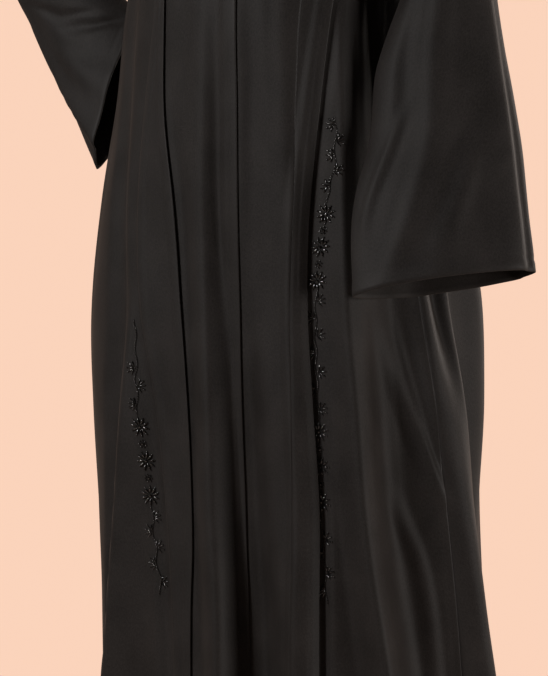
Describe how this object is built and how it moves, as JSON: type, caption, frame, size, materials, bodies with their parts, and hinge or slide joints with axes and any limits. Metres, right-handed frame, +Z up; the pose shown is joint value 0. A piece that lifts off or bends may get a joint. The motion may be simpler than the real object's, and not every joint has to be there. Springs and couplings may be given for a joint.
{
  "type": "abaya cloak",
  "caption": "Long loose open-fronted cloak of black crepe with wide sleeves, lapped panels and beaded side seams, filled out as worn.",
  "frame": {"origin": "midway between the two points where the shoulder seams meet the neckline, where the wearer's shoulders carry the cloak", "axes": "+Z up, the front faces -Y, and the wearer's left is +X"},
  "size_m": [0.7608, 0.398, 1.4194],
  "materials": {
    "crepe": "matt black crepe with a fine grain",
    "beads": "glossy black glass beads and faceted stones"
  },
  "bodies": {
    "root": {"back": "crepe", "side_left": "crepe", "side_right": "crepe", "front_left": "crepe", "front_right": "crepe", "strip_left": "crepe", "strip_right": "crepe", "sleeve_left": "crepe", "sleeve_right": "crepe"}
  },
  "joints": []
}
